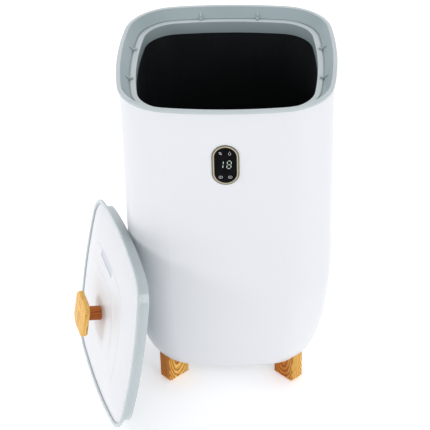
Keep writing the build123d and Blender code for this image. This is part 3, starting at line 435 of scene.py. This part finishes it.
# how far across the ring a point lies, as the distance from the slot's middle line
axes = put(tree, "SeparateXYZ", {0: place}).outputs
rise = axes["Z"]
for operation, amount in (("SUBTRACT", panel_level), ("ABSOLUTE", 0.0),
                          ("SUBTRACT", panel_straight), ("MAXIMUM", 0.0)):
    rise = put(tree, "Math", {0: rise, 1: amount}, operation=operation).outputs[0]
across = put(tree, "CombineXYZ", {0: axes["X"], 1: rise}).outputs[0]
reach = put(tree, "VectorMath", {0: across}, operation="LENGTH").outputs["Value"]
band = put(tree, "MapRange", {"Value": reach, "From Min": ring_inner, "From Max": ring_outer})
shade = put(tree, "ValToRGB", {"Fac": band.outputs["Result"]})
# painted light across the ring from the lens outward: a dark painted shadow at the lens, a pale
# painted highlight band, then painted olive shade falling to dark at the shell
ring_light_and_shade = (
    (0.00, (0.03, 0.028, 0.02)), (0.10, (0.06, 0.055, 0.035)), (0.20, (0.42, 0.38, 0.27)),
    (0.40, (0.54, 0.49, 0.36)), (0.54, (0.27, 0.24, 0.155)), (0.80, (0.16, 0.145, 0.095)),
    (1.00, (0.05, 0.045, 0.03)))
light_and_shade_stops = shade.color_ramp.elements
for number, (position, tint) in enumerate(ring_light_and_shade):
    stop = light_and_shade_stops[number] if number < 2 else light_and_shade_stops.new(position)
    stop.position = position
    stop.color = (*tint, 1)
brushed_cast = two_tone(tree, brushing, (0.86, 0.86, 0.86), (1.0, 1.0, 1.0))
colour_with(tree, shader, tinted(tree, shade.outputs["Color"], brushed_cast))
roughen(tree, shader, brushing, 0.24, 0.34)
wear_it(bucket_parts["panel_bezel"], champagne_painted_light)

lens_black, tree, shader, place = new_finish("black_lens", Specular_IOR_Level=0.04)
smear = noise(tree, place, scale=90.0, detail=5.0)
colour_with(tree, shader, two_tone(tree, smear, (0.0025, 0.0025, 0.003), (0.005, 0.005, 0.006)))
roughen(tree, shader, smear, 0.06, 0.16)
for name in ("panel_lens", "key_left", "key_right"):
    wear_it(bucket_parts[name], lens_black)


def glow_finish(name, tint, strength):
    """Pale printed ink that glows a little."""
    material, tree, shader, place = new_finish(name, Roughness=0.45, Emission_Strength=strength)
    patch = noise(tree, place, scale=1200.0, detail=2.0)
    shade = two_tone(tree, patch, tuple(0.88 * t for t in tint), tint)
    colour_with(tree, shader, shade)
    tree.links.new(shade, shader.inputs["Emission Color"])
    return material


digit_glow = glow_finish("digit_glow", (0.55, 0.68, 0.57), 0.26)
symbol_ink = glow_finish("symbol_ink", (0.60, 0.60, 0.62), 0.10)


def line_print(shape, points, width, face, closed=False):
    """Thin raised line of even width along (x, z) points on a front face, as one strip."""
    under, over = face + print_sink, face - print_thickness
    strip = []
    for k, here in enumerate(points):
        before = Vector(points[k - 1] if closed or k else here)
        after = Vector(points[(k + 1) % len(points)] if closed or k < len(points) - 1 else here)
        along = (after - before).normalized()
        side = Vector((-along.y, along.x)) * width / 2
        left, right = Vector(here) + side, Vector(here) - side
        strip.append([(left.x, under, left.y), (right.x, under, right.y),
                      (right.x, over, right.y), (left.x, over, left.y)])
    rows = join_rings(shape, strip, closed)
    if not closed:
        shape.faces.new(rows[0])
        shape.faces.new(rows[-1])


def segment_bar(shape, start, end, width, face):
    """One bar of a number: a long hexagon with pointed ends."""
    along = (end - start).normalized()
    side = Vector((-along.y, along.x)) * width / 2
    tip = along * width / 2
    outline = (start, start + tip + side, end - tip + side, end, end - tip - side,
               start + tip - side)
    prism(shape, [Vector((x, 0, z)) for x, z in outline],
          Vector((0, face + print_sink, 0)), Vector((0, face - print_thickness, 0)))


# seven-bar numbers, leaning a little to the right
digit_width, digit_height, digit_lean, digit_foot = 0.0052, 0.0116, 0.10, panel_level - 0.0050
tens_left, ones_left, bar_width, bar_gap = -0.0090, 0.0016, 0.0008, 0.0008
# the column and row where each bar starts and ends
bar_ends = {
    "a": ((0, 2), (1, 2)), "b": ((1, 2), (1, 1)), "c": ((1, 1), (1, 0)), "d": ((0, 0), (1, 0)),
    "e": ((0, 1), (0, 0)), "f": ((0, 2), (0, 1)), "g": ((0, 1), (1, 1))}
digits = bmesh.new()
for bars, left in (("bc", tens_left), ("abcdefg", ones_left)):
    for bar in bars:
        ends = []
        for column, row in bar_ends[bar]:
            rise = digit_height * row / 2
            shift = digit_width * column + digit_lean * rise
            ends.append(Vector((left + shift, digit_foot + rise)))
        trim = (ends[1] - ends[0]).normalized() * bar_gap
        segment_bar(digits, ends[0] + trim, ends[1] - trim, bar_width, lens_face)
panel_digits = add_mesh("panel_digits", digits, digit_glow)
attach(panel_digits, "bucket")

# three rising heat waves
wave_x, wave_level, wave_length, wave_height = -0.0066, 0.4242, 0.0034, 0.0003
wave_pitch, wave_shift, wave_line, wave_steps = 0.0015, 0.0004, 0.0005, 12
symbols = bmesh.new()
for row in (-1, 0, 1):
    wave = []
    for k in range(wave_steps + 1):
        along = k / wave_steps
        wave.append((wave_x - wave_shift * row + wave_length * (along - 0.5),
                     wave_level + wave_pitch * row + wave_height * sin(2 * pi * along)))
    line_print(symbols, wave, wave_line, lens_face)
# a water drop: a tip over an arc that runs clockwise from its right shoulder to its left
drop_x, drop_level, drop_tip, drop_radius = 0.0056, 0.4232, 0.4270, 0.0017
drop_start, drop_swing, drop_steps, thin_line = 28, -236, 14, 0.0004
drop = [(drop_x, drop_tip)]
for step in range(drop_steps + 1):
    turn = radians(drop_start + drop_swing * step / drop_steps)
    drop.append((drop_x + drop_radius * cos(turn), drop_level + drop_radius * sin(turn)))
line_print(symbols, drop, thin_line, lens_face, closed=True)
panel_symbols = add_mesh("panel_symbols", symbols, symbol_ink)
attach(panel_symbols, "bucket")

# a ring on each key, with an arrow head on the left and a bar on the right
mark_level, mark_half, arrow_rise, bar_line = 0.3873, 0.0010, 0.0006, 0.0005
ring_half_width, ring_half_height, ring_points = 0.0025, 0.0019, 24
for side, mark_x in (("left", -0.0066), ("right", 0.0060)):
    marks = bmesh.new()
    ring = []
    for k in range(ring_points):
        turn = 2 * pi * k / ring_points
        ring.append((mark_x + ring_half_width * cos(turn),
                     mark_level + ring_half_height * sin(turn)))
    line_print(marks, ring, thin_line, key_face, closed=True)
    if side == "left":
        arrow = [(mark_x - mark_half, mark_level + arrow_rise), (mark_x, mark_level - arrow_rise),
                 (mark_x + mark_half, mark_level + arrow_rise)]
        line_print(marks, arrow, thin_line, key_face)
    else:
        bar = [(mark_x - mark_half, mark_level), (mark_x + mark_half, mark_level)]
        line_print(marks, bar, bar_line, key_face)
    key_mark = add_mesh("key_mark_" + side, marks, symbol_ink)
    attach(key_mark, "key_" + side)

# ---- wooden legs ----
# Four short fins of oiled oak set across the corners, screwed up into the flat bottom.
# The grain runs down each leg, with arched figure on the broad faces, and the foot
# of each stands on a thin black rubber pad. Painted shade darkens the left side of each leg.


def oak(name, light, dark, grain_turn, ring_middle, pitch=0.0017, draw=0.40, shade_side_span=None):
    """Oiled oak: growth rings drawn out along the grain, fine fibres and short dark pores.

    The draw is how far the rings stretch along the grain; the last argument gives the two X
    between which painted shade, darkest at the first X, fades out toward the lit side at the
    second.
    """
    material, tree, shader, place = new_finish(
        name, Specular_IOR_Level=0.12, Coat_Weight=0.02, Coat_Roughness=0.3)

    def mapped(vector, **inputs):
        return put(tree, "Mapping", {"Vector": vector, **inputs}).outputs["Vector"]

    fibre_draw, unit_pitch = 0.03, 0.314  # unit_pitch: between a wave's rings at scale 1
    grain = mapped(place, Rotation=grain_turn, Location=ring_middle)
    drawn = mapped(grain, Scale=(1.0, 1.0, draw))
    stretched = mapped(grain, Scale=(1.0, 1.0, fibre_draw))
    wave_inputs = {"Vector": drawn, "Scale": unit_pitch / pitch, "Distortion": 5.0,
                   "Detail": 2.0, "Detail Scale": 0.35}
    rings = put(tree, "TexWave", wave_inputs, wave_type="RINGS", rings_direction="SPHERICAL",
                wave_profile="SAW").outputs["Fac"]
    fibres = noise(tree, stretched, scale=520.0, detail=4.0, roughness=0.6)
    pores = noise(tree, stretched, scale=1700.0, detail=2.0)
    patches = noise(tree, drawn, scale=45.0, detail=2.0)
    colour = two_tone(tree, rings, light, dark, 0.30, 0.92)
    for factor, tint, low, high, share in ((fibres, (0.70, 0.58, 0.44), 0.36, 0.56, 0.55),
                                           (patches, (0.84, 0.76, 0.66), 0.35, 0.62, 0.45),
                                           (pores, (0.42, 0.32, 0.24), 0.34, 0.42, 0.5)):
        cast = two_tone(tree, factor, tint, (1.0, 1.0, 1.0), low, high)
        colour = tinted(tree, colour, cast, share)
    # painted shade: the piece darkens toward its left side, away from the key light
    if shade_side_span:
        x = put(tree, "SeparateXYZ", {0: place}).outputs["X"]
        span = {"Value": x, "From Min": shade_side_span[0], "From Max": shade_side_span[1]}
        side_shade_share = put(tree, "MapRange", span).outputs["Result"]
        painted_side_shade = two_tone(tree, side_shade_share, (0.74, 0.42, 0.15), (1.0, 1.0, 1.0), 0.0, 1.0)
        colour = tinted(tree, colour, painted_side_shade)
    colour_with(tree, shader, colour)
    roughen(tree, shader, fibres, 0.54, 0.40)
    grain_bump(tree, shader, fibres, strength=0.25, distance=0.0002)
    return material


def speckled(name, first, second, scale, detail, smooth, rough, strength=0.2, metallic=0.0):
    """Finish with one fine speckle through its colour, its roughness and its bump."""
    material, tree, shader, place = new_finish(name, Metallic=metallic)
    speckle = noise(tree, place, scale, detail)
    colour_with(tree, shader, two_tone(tree, speckle, first, second))
    roughen(tree, shader, speckle, smooth, rough)
    grain_bump(tree, shader, speckle, strength, distance=0.0001)
    return material


black_rubber = speckled("black_rubber", (0.012, 0.012, 0.012), (0.028, 0.028, 0.028),
                        scale=1300.0, detail=4.0, smooth=0.70, rough=0.90)
oak_light, oak_dark = (1.00, 0.67, 0.170), (0.50, 0.140, 0.018)
# the two X spans over which painted shade darkens the left side of the left and right legs
leg_reach, left_leg_shade_span, right_leg_shade_span = 0.1185, (-0.096, -0.080), (0.080, 0.094)
# each leg's heading, and where the middle of its growth rings lies behind and up it
corners = {"front_left": (225, 0.0185, 0.050), "front_right": (315, -0.0185, 0.046),
           "rear_left": (135, 0.0190, 0.044), "rear_right": (45, -0.0175, 0.052)}
for corner, (heading, behind, level) in corners.items():
    leg_oak = oak("leg_oak_" + corner, oak_light, oak_dark, (0, 0, -radians(heading)),
                  (-leg_reach, behind, -level),
                  shade_side_span=left_leg_shade_span if "left" in corner else right_leg_shade_span)
    wear_it(bucket_parts["leg_" + corner], leg_oak)
    wear_it(bucket_parts["foot_pad_" + corner], black_rubber)

# ---- lid ring ----
# Blue-grey moulding that holds the white cap: a thin flange with a deep skirt behind it.
# The lid stands on the floor on its edge and leans its skirt on the bucket's left side.
lid_half, lid_side_bow, lid_corner_share = 0.1383, 3.4, 0.354
flange_depth, skirt_inset, skirt_depth = 0.0030, 0.0094, 0.0183
lid_lean, lid_heading, lid_sideways, lid_clearance = radians(10.1), radians(18.35), 0.0533, 0.0003
shell_half, shell_side_radius, shell_corner_radius = 0.1464, 0.60024, 0.071736
shell_corner = corner_centre(shell_half, shell_side_radius, shell_corner_radius)
lid_away = (shell_corner * (cos(lid_heading) + sin(lid_heading)) + shell_corner_radius
            + lid_clearance + (lid_half - skirt_inset) * sin(lid_lean)
            + skirt_depth * cos(lid_lean))
lid_origin = Vector((-cos(lid_heading) * lid_away + sin(lid_heading) * lid_sideways,
                     -sin(lid_heading) * lid_away - cos(lid_heading) * lid_sideways,
                     lid_half * cos(lid_lean) + flange_depth * sin(lid_lean)))
lid_x = Vector((sin(lid_heading), -cos(lid_heading), 0))
lid_z = Vector((-cos(lid_lean) * cos(lid_heading), -cos(lid_lean) * sin(lid_heading),
                sin(lid_lean)))
lid_y = lid_z.cross(lid_x)
lid_place = placement(lid_origin, lid_x, lid_y, lid_z)


def lid_outline_ring(inset, level):
    """Ring round the lid at a level of its own, set in from its outline."""
    outline = soft_square(lid_half - inset, lid_side_bow * lid_half - inset,
                          lid_corner_share * lid_half - inset)
    return [lid_place @ Vector((x, y, level)) for x, y in outline]


# corners of the ring's section: inset from the lid's outline, level, edge radius
ring_section = [
    (0.0000, 0.0000, 0.0007), (0.0000, -flange_depth, 0.0007), (0.0042, -flange_depth, 0.0),
    (0.0042, -0.0062, 0.0008), (skirt_inset, -0.0062, 0.0), (skirt_inset, -skirt_depth, 0.0008),
    (0.0114, -skirt_depth, 0.0006), (0.0114, -0.0042, 0.0), (0.00585, -0.0042, 0.0),
    (0.00585, 0.0000, 0.0004)]
ring_shape = bmesh.new()
ring_rings = [lid_outline_ring(inset, level) for inset, level in rounded_line(ring_section)]
join_rings(ring_shape, ring_rings, closed=True)
lid_ring = add_mesh("lid_ring_moulding", ring_shape, grey_polished_and_lit)
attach(lid_ring, "lid")
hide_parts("lid_ring")

# ---- lid cap ----
# White gloss moulding set in the ring: a shallow dome in three terraces with small steps
# between them, a level middle for the knob, and a bare sunk panel near the top edge.
# A grey liner closes the cap from behind.
cap_inset, cap_foot, cap_wall, cap_top = 0.0060, -0.0042, 0.0022, 0.0104
edge_half, edge_level, edge_radius, edge_lift, edge_steps = (
    lid_half - cap_inset, -0.0028, 0.0007, 0.00005, 4)
outer_step, inner_step, centre_half, cap_bore = 0.0860, 0.0570, 0.0240, 0.0040
border_low, border_middle, outer_foot, inner_foot = -0.0022, 0.0036, 0.0072, 0.0093
border_ease, border_steps, terrace_steps = 0.0010, 14, 6


def cap_ring(half, level):
    """Ring of the cap at a half width, easing from the rim's outline to the scaled one."""
    share = min(max((half - outer_step) / (edge_half - outer_step), 0), 1)
    inset = lid_half - half
    side, corner = (bow * half * (1 - share) + (bow * lid_half - inset) * share
                    for bow in (lid_side_bow, lid_corner_share))
    return [lid_place @ Vector((x, y, level)) for x, y in soft_square(half, side, corner)]


def border_level(half):
    """Level of the domed border: a smooth curve through its edge, middle and inner end."""
    points = ((edge_half, border_low), ((edge_half + outer_step) / 2, border_middle),
              (outer_step, outer_foot))
    total = 0.0
    for here, level in points:
        term = level
        for other, _ in points:
            if other != here:
                term *= (half - other) / (here - other)
        total += term
    return total


# the cap's section from its foot to its middle, then back along the underside
cap_section = [(edge_half, cap_foot), (edge_half, edge_level)]
for step in range(1, edge_steps + 1):
    turn = radians(90 * step / edge_steps)
    cap_section.append((edge_half - edge_radius * (1 - cos(turn)),
                        edge_level + edge_radius * sin(turn) + edge_lift))
border_start = edge_half - border_ease
for step in range(1, border_steps + 1):
    half = border_start - (border_start - outer_step) * step / border_steps
    cap_section.append((half, border_level(half)))
# each terrace: where its step stands and ends, its foot, and the climb to the next
for start, foot, end, climb in ((outer_step, outer_foot, inner_step, 0.0016),
                                (inner_step, inner_foot, centre_half, 0.0006)):
    for inward, upward in ((0.0003, 0.0002), (0.0005, 0.0004), (0.0009, 0.0005)):
        cap_section.append((start - inward, foot + upward))
    shelf, level = cap_section[-1]
    for step in range(1, terrace_steps + 1):
        share = step / terrace_steps
        cap_section.append((shelf - (shelf - end) * share, level + climb * share))
cap_section += [(half, cap_top) for half in (0.0180, 0.0110, cap_bore)]
for half, level in ((cap_bore, cap_top), (inner_step, inner_foot), (outer_step, outer_foot),
                    (0.1092, border_middle)):
    cap_section.append((half, level - cap_wall))
cap_section.append((edge_half - 0.0050, cap_foot))
cap_shape = bmesh.new()
join_rings(cap_shape, [cap_ring(half, level) for half, level in cap_section], closed=True)
lid_cap = add_mesh("lid_cap_moulding", cap_shape, white_plastic, smooth_angle=30)

# the sunk panel: a shallow pocket cut by a block that tilts with the dome
pocket_half_length, pocket_half_width, pocket_height = 0.030, 0.0072, 0.004
pocket_place = (lid_place @ Matrix.Translation((-0.0088, 0.0805, 0.0073))
                @ Matrix.Rotation(radians(0.8), 4, "X"))
block = []
for sx, sy in ((-1, -1), (1, -1), (1, 1), (-1, 1)):
    block.append(pocket_place @ Vector((sx * pocket_half_length, sy * pocket_half_width, 0)))
pocket = bmesh.new()
prism(pocket, block, Vector((0, 0, 0)), lid_z * pocket_height)
pocket_block = add_mesh("pocket_block", pocket)
cut = lid_cap.modifiers.new("pocket", "BOOLEAN")
cut.operation = "DIFFERENCE"
cut.solver = "EXACT"
cut.object = pocket_block
settle(lid_cap, smooth_angle=30)
bpy.data.objects.remove(pocket_block)

# the floor of the panel is left frosted, matt, and painted a darker grey as shade in the sunk
# recess
white_frosted_shaded = speckled("white_frosted_plastic", (0.60, 0.63, 0.69), (0.67, 0.70, 0.76),
                         scale=1600.0, detail=4.0, smooth=0.55, rough=0.70, strength=0.25)
lid_cap.data.materials.clear()
lid_cap.data.materials.append(white_plastic)
lid_cap.data.materials.append(white_frosted_shaded)
floor_gap, side_gap = 0.00005, 0.0005
for face in lid_cap.data.polygons:
    spot = pocket_place.inverted() @ face.center
    on_floor = (abs(spot.z) < floor_gap and abs(spot.x) < pocket_half_length + side_gap
                and abs(spot.y) < pocket_half_width + side_gap)
    face.material_index = 1 if on_floor else 0
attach(lid_cap, "lid")
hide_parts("lid_cap")
wear_it(bucket_parts["lid_liner"], grey_plastic)

# ---- wooden knob ----
# Turned stem of oiled oak, darkened by painted shade under the head, and a square head with cut
# corners in pale oak, drawn against the cap by one long screw. All edges are eased by sanding.
stem_bore, stem_radius, stem_ease, stem_points = 0.0040, 0.0102, 0.0004, 48
stem_foot, stem_top = cap_top, cap_top + 0.0228
head_half, head_cut, head_top = 0.0271, 0.0090, stem_top + 0.0074


def knob_oak(name, light, dark, grain, ring_middle, pitch, draw):
    """Oak whose grain axes are the rows of a matrix, turned with the lid."""
    middle = grain @ -lid_origin + Vector(ring_middle)
    return oak(name, light, dark, grain.to_euler(), tuple(middle), pitch, draw)


stem_rings = []
for radius, level in ((stem_bore, stem_foot), (stem_radius - stem_ease, stem_foot),
                      (stem_radius, stem_foot + stem_ease), (stem_radius, stem_foot + 0.0080),
                      (stem_radius, stem_foot + 0.0160), (stem_radius, stem_top),
                      (stem_bore, stem_top)):
    ring = []
    for k in range(stem_points):
        turn = 2 * pi * k / stem_points
        ring.append(lid_place @ Vector((radius * cos(turn), radius * sin(turn), level)))
    stem_rings.append(ring)
stem_shape = bmesh.new()
join_rings(stem_shape, stem_rings, closed=True)
# the stem's darker, redder oak is painted shade, for the shadow under the head
stem_oak = knob_oak("stem_oak", (0.60, 0.190, 0.042), (0.34, 0.080, 0.018),
                    Matrix((lid_x, lid_y, lid_z)), (0.004, 0.014, 0.0), pitch=0.0016, draw=0.05)
knob_stem = add_mesh("knob_stem_turned", stem_shape, stem_oak)
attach(knob_stem, "lid")
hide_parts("knob_stem")

head_outline = []
for c, s in quarter_turns:
    for x, y in ((head_half, head_half - head_cut), (head_half - head_cut, head_half)):
        head_outline.append(Vector((x * c - y * s, x * s + y * c, 0)))
head_shape = bmesh.new()
prism(head_shape, head_outline, Vector((0, 0, stem_top)), Vector((0, 0, head_top)))
bmesh.ops.transform(head_shape, matrix=lid_place, verts=head_shape.verts)
head_oak = knob_oak("head_oak", (1.00, 0.66, 0.200), (0.66, 0.31, 0.060),
                    Matrix((lid_z, lid_x, lid_y)), (-0.030, 0.006, 0.012), pitch=0.0014, draw=0.22)
knob_head = add_mesh("knob_head_block", head_shape, head_oak)
ease_edges(knob_head, width=0.0011, segments=3, angle=20)
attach(knob_head, "lid")
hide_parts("knob_head")

# ---- underside and back ----
# Grey base plate held by four screws, and the round cord gland in its pocket at the back,
# both moulded. The gland is drawn in from inside by its nut.
gland_grey = speckled("gland_plastic", (0.16, 0.18, 0.20), (0.20, 0.22, 0.24),
                      scale=1100.0, detail=3.0, smooth=0.45, rough=0.60)
wear_it(bucket_parts["base_plate"], grey_plastic)
for name in ("cord_gland", "gland_nut"):
    wear_it(bucket_parts[name], gland_grey)

# ---- inner works ----
# Heaters, insulation, boards and fasteners, closed in by the shell and the lid: zinc-plated
# steel, bare aluminium, blanket and foam, coated boards and moulded cases. The boards and
# the heaters are screwed to the shell, the plate and the pot.
for finish, first, second, scale, roughness, metallic, names in (
        ("zinc_steel", (0.48, 0.48, 0.50), (0.60, 0.60, 0.62), 900, 0.35, 1.0,
         ("heater_nuts", "thermal_fuse", "pot_screws", "leg_screws", "base_screws",
          "power_board_screws", "control_board_screws", "lid_screws", "knob_washer",
          "knob_screw")),
        ("bare_aluminium", (0.70, 0.71, 0.73), (0.80, 0.80, 0.81), 300, 0.30, 1.0,
         ("base_heater", "wall_heater")),
        ("wool_blanket", (0.70, 0.66, 0.52), (0.82, 0.79, 0.68), 400, 0.90, 0.0,
         ("pot_insulation",)),
        ("white_foam", (0.78, 0.78, 0.76), (0.88, 0.88, 0.86), 700, 0.90, 0.0,
         ("lid_insulation",)),
        ("board_green", (0.012, 0.080, 0.035), (0.020, 0.110, 0.050), 500, 0.40, 0.0,
         ("power_board", "control_board")),
        ("black_case", (0.015, 0.015, 0.016), (0.030, 0.030, 0.032), 800, 0.50, 0.0,
         ("thermostat", "transformer", "capacitor", "display_module", "switch_left",
          "switch_right", "switch_plunger_left", "switch_plunger_right")),
        ("blue_case", (0.010, 0.045, 0.180), (0.015, 0.060, 0.220), 600, 0.35, 0.0,
         ("relay",)),
        ("white_block", (0.62, 0.62, 0.60), (0.70, 0.70, 0.68), 600, 0.45, 0.0,
         ("terminal_block",)),
        ("grey_lead", (0.28, 0.28, 0.30), (0.34, 0.34, 0.36), 500, 0.50, 0.0,
         ("ribbon_lead",))):
    works_finish = speckled(finish, first, second, scale, detail=4.0, smooth=roughness - 0.06,
                            rough=roughness + 0.06, metallic=metallic)
    for name in names:
        wear_it(bucket_parts[name], works_finish)
